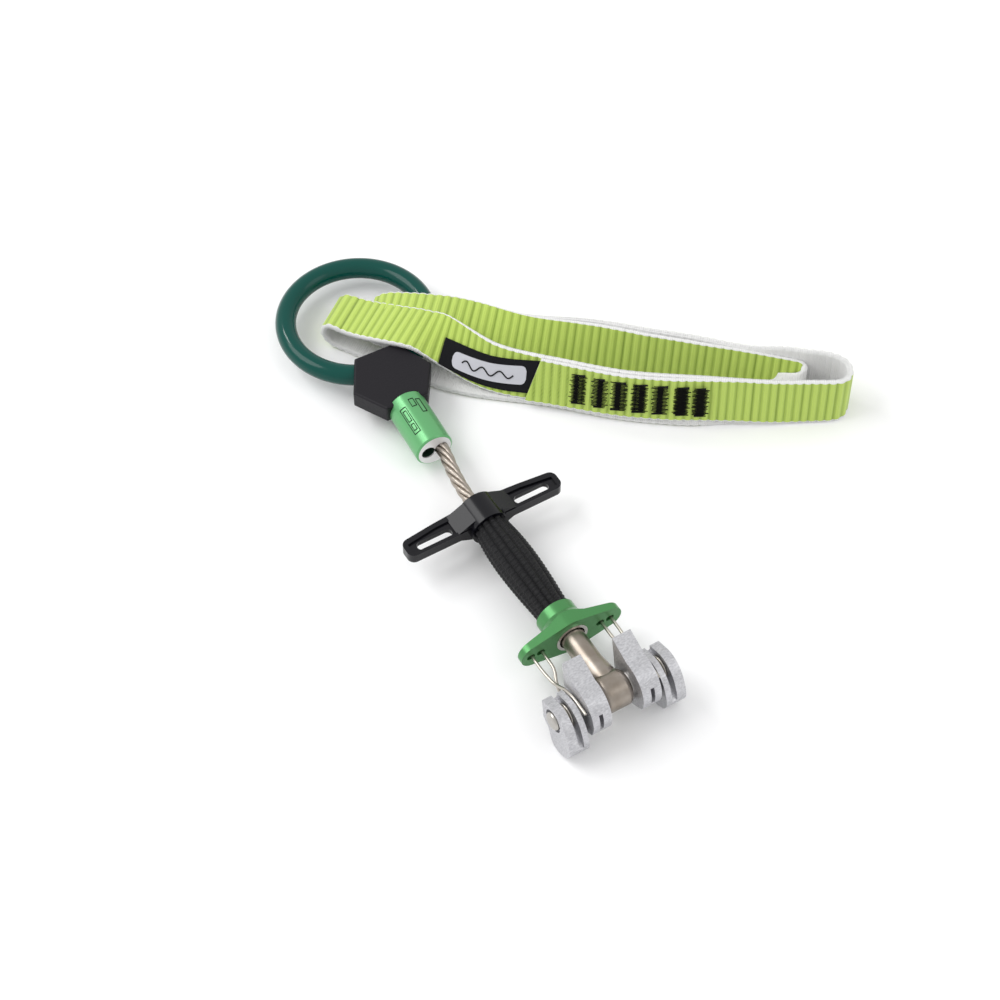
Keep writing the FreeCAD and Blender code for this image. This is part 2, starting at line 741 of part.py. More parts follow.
for side, way in (("right", 1), ("left", -1)):
    slot = sketch_on(bar, "XY_Plane", f"bar_{side}_slot_outline")
    half = "(dims.finger_slot_length - dims.finger_slot_width) / 2"
    centre = f"{way} * dims.finger_slot_centre"
    front_y = "dims.finger_slot_front"
    back_y = "dims.finger_slot_front + dims.finger_slot_width"
    outline(
        slot,
        [
            (f"{centre} - {half} - 1.3", front_y),
            (f"{centre} + {half} + 1.3", front_y),
            (f"{centre} + {half} + 1.3", back_y),
            (f"{centre} - {half} - 1.3", back_y),
        ],
    )
    pocket(bar, slot, "20", f"bar_{side}_slot", midplane=True)
slot_middle = size("finger_slot_front") + size("finger_slot_width") / 2


def slot_corner(edge):
    middle = edge.CenterOfMass
    inside = abs(middle.y - slot_middle) < size("finger_slot_width") / 2 + 0.01
    near = abs(abs(middle.x) - size("finger_slot_centre")) < size("finger_slot_length") / 2 + 0.01
    return parallel_to(Vector(0, 0, 1))(edge) and inside and near


dress(bar, "PartDesign::Fillet", "bar_slot_ends", slot_corner, Radius="dims.finger_slot_width / 2 - 0.05")
doc.recompute()
boss = sketch_on(bar, "XZ_Plane", "bar_boss_ring", "-dims.boss_front")
circle(boss, "dims.boss_radius")
pad(bar, boss, "dims.bar_back - dims.boss_front - 0.4", "bar_boss", reverse=True)
doc.recompute()
# the wings rise to the boss in a saddle
saddle = sketch_on(bar, "XZ_Plane", "bar_saddle_outline", "-dims.bar_front - 0.2")
saddle_half = [("8.4", "1.2"), ("3.2", "3.9"), ("-3.2", "3.9"), ("-8.4", "1.2")]
outline(saddle, saddle_half + [(x, f"-{z}") for x, z in reversed(saddle_half)])
pad(bar, saddle, "dims.bar_back - dims.bar_front - 0.7", "bar_saddle", reverse=True)
doc.recompute()
for name, radius, depth in (
    ("bore", "dims.bar_bore", "20"),
    ("sheath_seat", "dims.sheath_end_radius", "dims.bar_seat_depth"),
):
    ring = sketch_on(bar, "XZ_Plane", f"bar_{name}_ring", "-dims.boss_front")
    circle(ring, radius)
    pocket(bar, ring, depth, f"bar_{name}")
for side, way in (("right", ""), ("left", "-")):
    ring = sketch_on(bar, "XZ_Plane", f"bar_pull_{side}_ring", "-dims.boss_front")
    circle(ring, "dims.pull_radius", "0", f"{way}dims.pull_offset")
    pocket(bar, ring, "20", f"bar_pull_{side}")
node(bar, "trigger_bar")

# ---------------------------------------------------------------- pull cables and wires

for side, way in (("right", ""), ("left", "-")):
    node(
        rod_y(
            f"pull_rod_{side}",
            "dims.pull_radius",
            "dims.bar_back - 1.4 - dims.bulkhead",
            "0",
            "dims.bulkhead",
            f"{way}dims.pull_offset",
        ),
        f"pull_cable_{side}",
    )


def wire_through(points, radius):
    """A round wire along straight runs, with a tangent arc at each inner point."""
    edges = []
    start = points[0]
    for before, corner, after in zip(points, points[1:], points[2:]):
        back = (before - corner).normalize()
        on = (after - corner).normalize()
        half = back.getAngle(on) / 2
        reach = min(1.6, 0.45 * before.distanceToPoint(corner), 0.45 * after.distanceToPoint(corner))
        bisector = (back + on).normalize()
        centre = corner + reach / math.cos(half) * bisector
        middle = centre - reach * math.tan(half) * bisector
        enter, leave = corner + reach * back, corner + reach * on
        edges.append(Part.LineSegment(start, enter).toShape())
        edges.append(Part.Arc(enter, middle, leave).toShape())
        start = leave
    edges.append(Part.LineSegment(start, points[-1]).toShape())
    return tube_along(edges, points[0], points[1] - points[0], radius)


for side, sign in (("right", 1), ("left", -1)):
    plug = size("plate_front") + size("plate_edge")
    lane = size("wire_gap")
    eye = cam_point(size("eye_angle"), size("eye_reach"), 1)
    upper = [
        (size("outer_hole"), plug, 0),
        (size("outer_hole"), 13.0, -0.2),
        (size("outer_hole") - 0.4, 8.5, 0),
        (lane, 4.5, 2.4),
        (lane, 1.0, eye.z),
        (lane, eye.y, eye.z),
    ]
    lower = [
        (size("inner_hole"), plug, 0),
        (size("inner_hole"), 12.0, 0),
        (lane, 8.2, -0.8),
        (lane, 2.5, -eye.z),
        (lane, eye.y, -eye.z),
    ]
    for row, route in (("inner", upper), ("outer", lower)):
        name = f"{row}_cam_wire_{side}"
        points = [Vector(sign * x, y, z) for x, y, z in route]
        node(feature(f"{name}_tube", wire_through(points, size("wire_radius"))), name)

# ---------------------------------------------------------------- sling

# The webbing runs once round all of these sections: x, y and z of its middle, then the
# compass angle and the rise of its width.
FRONT_STRAND = [
    (3.2, 131.7, 1.6, 38, -4),
    (7.0, 125.7, 2.8, 36, -1),
    (11.5, 119.6, 4.3, 34, 1),
    (15.5, 115.0, 4.6, 36, 3),
    (19.7, 109.8, 2.8, 42, 32),
    (26.0, 98.6, 0.9, 46, 60),
    (36.0, 88.0, 0.7, 50, 72),
    (50.3, 74.5, 0.5, 53, 77),
    (66.9, 62.6, 0.2, 55, 77),
    (75.3, 56.9, -0.2, 55, 77),
    (84.2, 52.0, -1.2, 57, 78),
    (93.0, 47.4, -1.6, 55, 80),
]
OUTER_BEND = [(99.4, 45.6, -1.7, 50, 83), (102.2, 49.2, -1.7, 46, 85), (100.4, 54.0, -1.6, 46, 84)]
OUTER_RETURN = [
    (95.6, 57.9, -1.5, 46, 82),
    (90.8, 61.4, -1.4, 46, 78),
    (86.2, 64.0, -1.4, 46, 75),
    (75.0, 74.0, -1.3, 46, 73),
    (63.5, 84.4, -1.2, 46, 70),
    (51.8, 94.8, -1.5, 46, 60),
    (38.9, 104.5, -1.9, 46, 40),
    (27.2, 115.6, -2.8, 46, 8),
    (20.0, 119.8, -3.8, 47, 0),
    (13.5, 125.0, -3.5, 48, 0),
]
INNER_FOLD = [(9.8, 128.3, -2.4, 48, 0), (8.4, 129.5, -0.3, 48, 0), (9.8, 128.3, 1.9, 48, 0)]
BACK_STRAND = [
    (13.5, 125.0, 3.4, 48, 0),
    (20.0, 119.8, 3.9, 47, 0),
    (26.5, 115.1, 2.2, 46, 10),
    (38.0, 103.4, -0.4, 46, 40),
    (50.4, 93.4, -0.7, 46, 60),
    (62.1, 83.0, -0.9, 46, 70),
    (73.6, 72.5, -1.2, 46, 71),
    (85.4, 61.4, -2.0, 46, 62),
]
INNER_BEND = [(90.4, 56.8, -2.7, 46, 56), (91.9, 54.4, -3.0, 46, 54), (90.4, 53.0, -3.3, 48, 52)]
INNER_RETURN = [
    (86.2, 55.4, -4.4, 50, 42),
    (80.6, 59.2, -6.3, 52, 18),
    (74.4, 62.9, -7.0, 53, 4),
    (68.0, 66.0, -6.9, 54, 0),
    (60.5, 71.0, -6.8, 54, 0),
    (52.5, 77.2, -6.6, 53, 0),
    (38.5, 90.5, -6.2, 50, 0),
    (27.0, 99.8, -5.95, 46, 0),
    (18.6, 108.2, -5.7, 42, 0),
    (14.6, 114.0, -5.55, 36, 0),
    (11.0, 119.5, -5.45, 34, 0),
    (7.0, 126.0, -5.25, 34, 0),
    (3.8, 131.2, -5.1, 36, 0),
]
OUTER_FOLD = [(1.2, 134.7, -4.2, 39, -4), (0.1, 135.9, -1.4, 40, -8), (0.9, 135.0, 1.1, 40, -8)]
SLING_SECTIONS = (
    FRONT_STRAND
    + OUTER_BEND
    + OUTER_RETURN
    + INNER_FOLD
    + BACK_STRAND
    + INNER_BEND
    + INNER_RETURN
    + OUTER_FOLD
)


def closed_curve(points):
    curve = Part.BSplineCurve()
    curve.interpolate(points, PeriodicFlag=True)
    return curve


def sling_frames():
    """Evenly spread middles, widths and outward normals along the webbing."""
    middles = [Vector(x, y, z) for x, y, z, compass, rise in SLING_SECTIONS]
    widths = []
    for x, y, z, compass, rise in SLING_SECTIONS:
        c, r = math.radians(compass), math.radians(rise)
        widths.append(Vector(math.cos(r) * math.cos(c), math.cos(r) * math.sin(c), math.sin(r)))
    line = closed_curve(middles)
    where = [line.parameter(p) for p in middles] + [line.LastParameter]
    frames = []
    for i in range(len(middles)):
        for share in (0.0, 0.5):
            at = where[i] + share * (where[i + 1] - where[i])
            middle = line.value(at)
            tangent = line.tangent(at)[0]
            if share:
                width = widths[i] + widths[(i + 1) % len(widths)]
            else:
                width = Vector(widths[i])
            width.normalize()
            normal = tangent.cross(width).normalize()
            frames.append((middle, width, normal))
    return frames


def strip(frames, half, low, high, closed):
    """A flat strip through the frames, between two distances along their normals."""
    sections = []
    for middle, width, normal in frames:
        corners = [(-half, high), (half, high), (half, low), (-half, low)]
        spots = [middle + across * width + out * normal for across, out in corners]
        sections.append(Part.makePolygon(spots + spots[:1]))
    return Part.makeLoft(sections, True, True, closed)


frames = sling_frames()
half_web = size("web_thickness") / 2
node(feature("webbing_strip", strip(frames, size("web_width") / 2, -half_web, half_web, True)), "sling_webbing")
label_frames = frames[8:13]
label_high = half_web + 0.05 + size("label_thickness")
label = strip(label_frames, size("label_width") / 2, half_web + 0.05, label_high, False)
node(feature("label_patch", label), "sling_label")

doc.recompute()
os.makedirs("parts", exist_ok=True)
for obj in doc.Objects:
    if "Invalid" in obj.State or "Error" in obj.State:
        raise RuntimeError(f"{obj.Name} failed: {obj.State}")
for obj in nodes:
    shape = obj.Shape
    if shape.isNull() or not shape.isValid() or not shape.Solids:
        raise RuntimeError(f"{obj.Label} has no valid solid")
    shape.exportStep(f"parts/{obj.Label}.step")
    print(f"{obj.Label:24s} solids {len(shape.Solids)} volume {shape.Volume:9.2f}")
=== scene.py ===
"""Looks for a climbing cam with a thumb loop and a doubled webbing sling."""

import math

import bpy
import numpy as np
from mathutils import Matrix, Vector


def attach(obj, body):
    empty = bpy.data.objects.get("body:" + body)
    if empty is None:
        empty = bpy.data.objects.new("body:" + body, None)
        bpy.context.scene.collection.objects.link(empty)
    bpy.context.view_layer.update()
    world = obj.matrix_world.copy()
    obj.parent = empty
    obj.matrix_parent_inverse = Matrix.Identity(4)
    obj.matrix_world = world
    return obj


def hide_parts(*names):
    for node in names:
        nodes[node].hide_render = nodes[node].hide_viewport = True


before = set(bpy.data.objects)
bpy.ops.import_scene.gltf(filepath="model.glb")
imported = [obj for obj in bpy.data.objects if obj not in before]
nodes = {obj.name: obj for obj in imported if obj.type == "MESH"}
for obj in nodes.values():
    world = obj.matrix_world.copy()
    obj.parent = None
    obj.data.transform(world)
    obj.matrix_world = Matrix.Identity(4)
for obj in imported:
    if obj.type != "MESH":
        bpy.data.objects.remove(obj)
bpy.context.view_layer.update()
MM = 0.001
BUMP_DEPTH = 0.0002


# ---------------------------------------------------------------- materials

def principled(name, color, rough=0.5, metal=0.0, **sockets):
    """A material with one Principled shader; returns it with its nodes at hand."""
    mat = bpy.data.materials.new(name)
    mat.use_nodes = True
    shader = mat.node_tree.nodes["Principled BSDF"]
    shader.inputs["Base Color"].default_value = (*color, 1)
    shader.inputs["Roughness"].default_value = rough
    shader.inputs["Metallic"].default_value = metal
    for socket, value in sockets.items():
        shader.inputs[socket.replace("_", " ")].default_value = value
    return mat


def add(mat, kind, **values):
    """A new node in the material, with the values of its named inputs or settings."""
    node = mat.node_tree.nodes.new(kind)
    for key, value in values.items():
        if hasattr(node, key):
            setattr(node, key, value)
        else:
            node.inputs[key.replace("_", " ")].default_value = value
    return node


def maths(mat, operation, second=None, kind="ShaderNodeMath"):
    """A maths node, with a constant second input if one is given."""
    node = add(mat, kind, operation=operation)
    if second is not None:
        node.inputs[1].default_value = second
    return node


def link(mat, source, out, target, into):
    mat.node_tree.links.new(source.outputs[out], target.inputs[into])


def shader_of(mat):
    return mat.node_tree.nodes["Principled BSDF"]


def grain(mat, scale, strength, stretch=(1, 1, 1)):
    """A fine noise bump in the part's own coordinates."""
    where = add(mat, "ShaderNodeTexCoord")
    size = add(mat, "ShaderNodeMapping", Scale=stretch)
    noise = add(mat, "ShaderNodeTexNoise", Scale=scale, Detail=3.0)
    bump = add(mat, "ShaderNodeBump", Strength=strength, Distance=BUMP_DEPTH)
    link(mat, where, "Object", size, "Vector")
    link(mat, size, "Vector", noise, "Vector")
    link(mat, noise, "Fac", bump, "Height")
    link(mat, bump, "Normal", shader_of(mat), "Normal")
    return noise


def mottle(mat, noise, dark, light, low=0.35, high=0.65):
    """Two close colours, mixed by the noise."""
    ramp = add(mat, "ShaderNodeValToRGB")
    ramp.color_ramp.elements[0].color = (*dark, 1)
    ramp.color_ramp.elements[1].color = (*light, 1)
    ramp.color_ramp.elements[0].position = low
    ramp.color_ramp.elements[1].position = high
    link(mat, noise, "Fac", ramp, "Fac")
    link(mat, ramp, "Color", shader_of(mat), "Base Color")


def woven(mat, along, across, strength):
    """A thread bump in the piece's own U (along) and V (across), in millimetres."""
    where = add(mat, "ShaderNodeTexCoord")
    rows = add(mat, "ShaderNodeTexWave", Scale=along, Distortion=0.6, bands_direction="X")
    cols = add(mat, "ShaderNodeTexWave", Scale=across, Distortion=0.6, bands_direction="Y")
    both = maths(mat, "MULTIPLY")
    bump = add(mat, "ShaderNodeBump", Strength=strength, Distance=BUMP_DEPTH)
    link(mat, where, "UV", rows, "Vector")
    link(mat, where, "UV", cols, "Vector")
    mat.node_tree.links.new(rows.outputs["Fac"], both.inputs[0])
    mat.node_tree.links.new(cols.outputs["Fac"], both.inputs[1])
    link(mat, both, "Value", bump, "Height")
    link(mat, bump, "Normal", shader_of(mat), "Normal")


loop_mat = principled("loop_teal", (0.0, 0.058, 0.046), 0.14, Specular_IOR_Level=0.25)
yoke_mat = principled("yoke_black", (0.007, 0.006, 0.009), 0.45, Specular_IOR_Level=0.25)
grain(yoke_mat, 1500, 0.25)
trigger_mat = principled("trigger_satin", (0.003, 0.003, 0.005), 0.22, Specular_IOR_Level=0.3)
plate_mat = principled("plate_green", (0.07, 0.25, 0.08), 0.3, 0.5)
grain(plate_mat, 900, 0.12)
bush_mat = principled("bush_polished", (0.62, 0.60, 0.57), 0.16, 1.0)
fitting_mat = principled("fitting_tinted", (0.36, 0.31, 0.26), 0.34, 1.0)
mottle(fitting_mat, grain(fitting_mat, 260, 0.1), (0.26, 0.22, 0.18), (0.38, 0.34, 0.30), 0.25, 0.75)
steel_mat = principled("steel", (0.48, 0.46, 0.43), 0.3, 1.0)
wire_mat = principled("wire", (0.50, 0.47, 0.42), 0.3, 1.0)
cam_mat = principled("cam_blasted", (0.56, 0.56, 0.57), 0.42, 0.9)
mottle(cam_mat, grain(cam_mat, 2600, 0.35, (0.5, 1, 1)), (0.44, 0.44, 0.46), (0.64, 0.64, 0.66), 0.3, 0.7)

# the barrel's end face is bare metal inside a thin green rim, and its channels get painted shade inside
TILT = math.radians(3)
BARREL_AXIS = Vector((math.sin(TILT), math.cos(TILT), 0))
BARREL_FOOT = Vector((0.40, 82.7, 0)) * MM
BARREL_GREEN = (0.12, 0.38, 0.15)
FACE_DEPTH, BARE_RADIUS, CHANNEL_RADIUS = 0.35 * MM, 4.5 * MM, 3.9 * MM
ferrule_mat = principled("ferrule_green", BARREL_GREEN, 0.28, 0.35)
grain(ferrule_mat, 1200, 0.08)
spot = add(ferrule_mat, "ShaderNodeTexCoord")
from_foot = maths(ferrule_mat, "SUBTRACT", BARREL_FOOT, "ShaderNodeVectorMath")
facing = maths(ferrule_mat, "DOT_PRODUCT", BARREL_AXIS, "ShaderNodeVectorMath")
off_axis = maths(ferrule_mat, "CROSS_PRODUCT", BARREL_AXIS, "ShaderNodeVectorMath")
radial = maths(ferrule_mat, "LENGTH", kind="ShaderNodeVectorMath")
near = maths(ferrule_mat, "LESS_THAN", FACE_DEPTH)
past = maths(ferrule_mat, "GREATER_THAN", FACE_DEPTH)
inside = maths(ferrule_mat, "LESS_THAN", BARE_RADIUS)
core = maths(ferrule_mat, "LESS_THAN", CHANNEL_RADIUS)
bare = maths(ferrule_mat, "MULTIPLY")
channel_shade_mask = maths(ferrule_mat, "MULTIPLY")
tint = add(ferrule_mat, "ShaderNodeMix", data_type="RGBA")
tint.inputs[6].default_value = (*BARREL_GREEN, 1)
tint.inputs[7].default_value = (0.80, 0.80, 0.80, 1)
# painted shade: a dark colour on the channel walls past the end face
shadow = add(ferrule_mat, "ShaderNodeMix", data_type="RGBA")
shadow.inputs[7].default_value = (0.02, 0.05, 0.03, 1)
link(ferrule_mat, spot, "Object", from_foot, 0)
link(ferrule_mat, from_foot, "Vector", facing, 0)
link(ferrule_mat, from_foot, "Vector", off_axis, 0)
link(ferrule_mat, off_axis, "Vector", radial, 0)
link(ferrule_mat, facing, "Value", near, 0)
link(ferrule_mat, facing, "Value", past, 0)
link(ferrule_mat, radial, "Value", inside, 0)
link(ferrule_mat, radial, "Value", core, 0)
link(ferrule_mat, near, "Value", bare, 0)
link(ferrule_mat, inside, "Value", bare, 1)
link(ferrule_mat, past, "Value", channel_shade_mask, 0)
link(ferrule_mat, core, "Value", channel_shade_mask, 1)
link(ferrule_mat, bare, "Value", tint, 0)
link(ferrule_mat, channel_shade_mask, "Value", shadow, 0)
ferrule_mat.node_tree.links.new(tint.outputs[2], shadow.inputs[6])
ferrule_mat.node_tree.links.new(shadow.outputs[2], shader_of(ferrule_mat).inputs["Base Color"])

SHEEN = {"Sheen_Weight": 0.25, "Sheen_Roughness": 0.5}
MATT = {"Specular_IOR_Level": 0.2}
green_mat = principled("tape_green", (0.42, 0.62, 0.085), 0.78, **SHEEN)
woven(green_mat, 0.55, 0.95, 0.5)
# painted shade in the valleys between ribs and painted highlight on their crests, both read from the rib
# height
height = add(green_mat, "ShaderNodeAttribute", attribute_name="rib")
painted_rib_shade = add(green_mat, "ShaderNodeValToRGB")
painted_rib_shade.color_ramp.elements[0].color = (0.23, 0.34, 0.035, 1)
painted_rib_shade.color_ramp.elements[1].color = (0.47, 0.62, 0.11, 1)
painted_rib_shade.color_ramp.elements[0].position = 0.05
painted_rib_shade.color_ramp.elements[1].position = 0.85
link(green_mat, height, "Fac", painted_rib_shade, "Fac")
link(green_mat, painted_rib_shade, "Color", shader_of(green_mat), "Base Color")
white_mat = principled("tape_white", (0.80, 0.80, 0.79), 0.85, **SHEEN)
woven(white_mat, 0.55, 0.95, 0.7)
thread_mat = principled("thread_black", (0.005, 0.005, 0.006), 0.6, **MATT)
label_mat = principled("label_black", (0.006, 0.006, 0.008), 0.8, **MATT)
woven(label_mat, 1.1, 1.1, 0.5)
panel_mat = principled("label_panel", (0.56, 0.56, 0.61), 0.8, **SHEEN)
woven(panel_mat, 1.1, 1.1, 0.4)
braid_mat = principled("braid_black", (0.003, 0.003, 0.004), 0.5, Specular_IOR_Level=0.28)
woven(braid_mat, 0.45, 1.0, 0.7)
strand_mat = principled("strand_steel", (0.40, 0.355, 0.31), 0.32, 1.0)
where = add(strand_mat, "ShaderNodeTexCoord")
wires = add(strand_mat, "ShaderNodeTexWave", Scale=0.35, bands_direction="DIAGONAL")
relief = add(strand_mat, "ShaderNodeBump", Strength=0.25, Distance=0.0001)
link(strand_mat, where, "UV", wires, "Vector")
link(strand_mat, wires, "Fac", relief, "Height")
link(strand_mat, relief, "Normal", shader_of(strand_mat), "Normal")

FINISHES = {
    "thumb_loop_sleeve": loop_mat, "yoke": yoke_mat, "ferrule": ferrule_mat, "trigger_bar": trigger_mat,
    "wire_plate": plate_mat, "plate_bush": bush_mat, "stem_end_fitting": fitting_mat,
    "axle": steel_mat, "axle_head_right": steel_mat, "axle_head_left": steel_mat,
    "spacer_right": steel_mat, "spacer_left": steel_mat,
}
for name in ("inner_cam_right", "inner_cam_left", "outer_cam_right", "outer_cam_left"):
    FINISHES[name] = cam_mat
for name in ("cam_spring", "pull_cable", "inner_cam_wire", "outer_cam_wire"):
    FINISHES[name + "_right"] = wire_mat
    FINISHES[name + "_left"] = wire_mat
for name, mat in FINISHES.items():
    for material_slot in nodes[name].material_slots:
        material_slot.material = mat


# ---------------------------------------------------------------- mesh helpers

def mesh_object(name, points, faces, mats, face_mats=None, uvs=None, smooth=True):
    """A mesh object from points in millimetres; uvs holds one pair for each point."""
    mesh = bpy.data.meshes.new(name)
    mesh.from_pydata([tuple(p) for p in np.asarray(points) * MM], [], faces)
    for mat in mats:
        mesh.materials.append(mat)
    if face_mats is not None:
        mesh.polygons.foreach_set("material_index", face_mats)
    mesh.polygons.foreach_set("use_smooth", [smooth] * len(mesh.polygons))
    if uvs is not None:
        layer = mesh.uv_layers.new(name="uv")
        corners = np.zeros(len(mesh.loops), int)
        mesh.loops.foreach_get("vertex_index", corners)
        layer.data.foreach_set("uv", np.asarray(uvs, float)[corners].ravel())
    mesh.update()
    obj = bpy.data.objects.new(name, mesh)
    bpy.context.scene.collection.objects.link(obj)
    return obj


def lattice(rows, cols, closed=False, caps=False):
    """Faces of a grid of rows by cols points, joined round each row and, if closed, end to end."""
    faces = []
    for i in range(rows if closed else rows - 1):
        for j in range(cols):
            k, m = (i + 1) % rows, (j + 1) % cols
            faces.append((i * cols + j, i * cols + m, k * cols + m, k * cols + j))
    if caps:
        faces.append(tuple(range(cols - 1, -1, -1)))
        faces.append(tuple((rows - 1) * cols + j for j in range(cols)))
    return faces


def unit(v):
    return v / np.linalg.norm(v, axis=-1, keepdims=True)


# ---------------------------------------------------------------- the sling's line

# each section: middle x, y, z, compass and rise of the tape's width
FRONT_STRAND = [
    (3.2, 131.7, 1.6, 38, -4),
    (7.0, 125.7, 2.8, 36, -1),
    (11.5, 119.6, 4.3, 34, 1),
    (15.5, 115.0, 4.6, 36, 3),
    (19.7, 109.8, 2.8, 42, 32),
    (26.0, 98.6, 0.9, 46, 60),
    (36.0, 88.0, 0.7, 50, 72),
    (50.3, 74.5, 0.5, 53, 77),
    (66.9, 62.6, 0.2, 55, 77),
    (75.3, 56.9, -0.2, 55, 77),
    (84.2, 52.0, -1.2, 57, 78),
    (93.0, 47.4, -1.6, 55, 80),
]
OUTER_BEND = [(99.4, 45.6, -1.7, 50, 83), (102.2, 49.2, -1.7, 46, 85), (100.4, 54.0, -1.6, 46, 84)]
OUTER_RETURN = [
    (95.6, 57.9, -1.5, 46, 82),
    (90.8, 61.4, -1.4, 46, 78),
    (86.2, 64.0, -1.4, 46, 75),
    (75.0, 74.0, -1.3, 46, 73),
    (63.5, 84.4, -1.2, 46, 70),
    (51.8, 94.8, -1.5, 46, 60),
    (38.9, 104.5, -1.9, 46, 40),
    (27.2, 115.6, -2.8, 46, 8),
    (20.0, 119.8, -3.8, 47, 0),
    (13.5, 125.0, -3.5, 48, 0),
]
INNER_FOLD = [(9.8, 128.3, -2.4, 48, 0), (8.4, 129.5, -0.3, 48, 0), (9.8, 128.3, 1.9, 48, 0)]
BACK_STRAND = [
    (13.5, 125.0, 3.4, 48, 0),
    (20.0, 119.8, 3.9, 47, 0),
    (26.5, 115.1, 2.2, 46, 10),
    (38.0, 103.4, -0.4, 46, 40),
    (50.4, 93.4, -0.7, 46, 60),
    (62.1, 83.0, -0.9, 46, 70),
    (73.6, 72.5, -1.2, 46, 71),
    (85.4, 61.4, -2.0, 46, 62),
]
INNER_BEND = [(90.4, 56.8, -2.7, 46, 56), (91.9, 54.4, -3.0, 46, 54), (90.4, 53.0, -3.3, 48, 52)]
INNER_RETURN = [
    (86.2, 55.4, -4.4, 50, 42),
    (80.6, 59.2, -6.3, 52, 18),
    (74.4, 62.9, -7.0, 53, 4),
    (68.0, 66.0, -6.9, 54, 0),
    (60.5, 71.0, -6.8, 54, 0),
    (52.5, 77.2, -6.6, 53, 0),
    (38.5, 90.5, -6.2, 50, 0),
    (27.0, 99.8, -5.95, 46, 0),
    (18.6, 108.2, -5.7, 42, 0),
    (14.6, 114.0, -5.55, 36, 0),
    (11.0, 119.5, -5.45, 34, 0),
    (7.0, 126.0, -5.25, 34, 0),
    (3.8, 131.2, -5.1, 36, 0),
]
OUTER_FOLD = [(1.2, 134.7, -4.2, 39, -4), (0.1, 135.9, -1.4, 40, -8), (0.9, 135.0, 1.1, 40, -8)]
SECTIONS = np.array(
    FRONT_STRAND + OUTER_BEND + OUTER_RETURN + INNER_FOLD
    + BACK_STRAND + INNER_BEND + INNER_RETURN + OUTER_FOLD, float)


def section_widths():
    compass, rise = np.radians(SECTIONS[:, 3]), np.radians(SECTIONS[:, 4])
    flat = np.cos(rise)
    return np.stack([flat * np.cos(compass), flat * np.sin(compass), np.sin(rise)], 1)


def periodic_slopes(points):
    """Chord lengths and slopes of the smooth closed curve through the points."""
    n = len(points)
    chords = np.linalg.norm(np.roll(points, -1, 0) - points, axis=1)
    matrix, right = np.zeros((n, n)), np.zeros((n, 3))
    for i in range(n):
        a, b = chords[i - 1], chords[i]
        j = (i + 1) % n
        matrix[i, i - 1] += b
        matrix[i, i] += 2 * (a + b)
        matrix[i, j] += a
        right[i] = 3 * (b * (points[i] - points[i - 1]) / a + a * (points[j] - points[i]) / b)
    return chords, np.linalg.solve(matrix, right)


def tape_line(steps=40):
    """Dense middles and widths round the whole sling."""
    points, widths = SECTIONS[:, :3], section_widths()
    chords, slopes = periodic_slopes(points)
    line, across = [], []
    for i in range(len(points)):
        j = (i + 1) % len(points)
        for t in np.linspace(0, 1, steps, endpoint=False):
            line.append(
                (2 * t**3 - 3 * t**2 + 1) * points[i] + (t**3 - 2 * t**2 + t) * slopes[i] * chords[i]
                + (3 * t**2 - 2 * t**3) * points[j] + (t**3 - t**2) * slopes[j] * chords[i])
            across.append(widths[i] * (1 - t) + widths[j] * t)
    return np.array(line), unit(np.array(across))


LINE, WIDTHS = tape_line()
STEPS = np.linalg.norm(np.roll(LINE, -1, 0) - LINE, axis=1)
ALONG = np.concatenate([[0], np.cumsum(STEPS)])
TAPE_LENGTH = ALONG[-1]
RIB_PITCH = 2.13
RIB = TAPE_LENGTH / round(TAPE_LENGTH / RIB_PITCH)
FRONT_RIB_DEPTH, BACK_RIB_DEPTH = 0.42, 0.12
WHITE_EDGE_START = 5.9
TAPE_HALF, LAYER_HALF = 0.82, 0.72


def at(table, s):
    """A closed table of vectors, read at the distances s."""
    closed = np.vstack([table, table[:1]])
    return np.stack([np.interp(s % TAPE_LENGTH, ALONG, closed[:, k]) for k in range(3)], -1)


def on_tape(s, a, out):
    """Points at distance s along the tape, a across it and out from its middle plane."""
    s, a, out = np.broadcast_arrays(np.asarray(s, float), np.asarray(a, float), np.asarray(out, float))
    width = unit(at(WIDTHS, s))
    ahead = unit(at(LINE, s + 0.6) - at(LINE, s - 0.6))
    normal = unit(np.cross(ahead, width))
    return at(LINE, s) + a[..., None] * width + out[..., None] * normal


def rib_wave(s):
    """From 0 in a valley between two ribs to 1 on a rib's crest."""
    return np.abs(np.sin(np.pi * s / RIB)) ** 0.8


TOP_ACROSS = np.array([
    -6.5, -6.42, -6.1, -5.6, -4.8, -3.6, -2.4, -1.2,
    0, 1.2, 2.4, 3.6, 4.8, 5.6, 6.1, 6.42, 6.5,
])
ACROSS = np.concatenate([TOP_ACROSS, TOP_ACROSS[-2:0:-1]])
ON_TOP = np.arange(len(ACROSS)) < len(TOP_ACROSS)


def half_depth(a):
    """Half the tape's thickness, as a share, with soft selvedges."""
    return np.interp(np.abs(a), [0, 5.6, 6.1, 6.42, 6.5], [1, 1, 1, 0.88, 0.0])


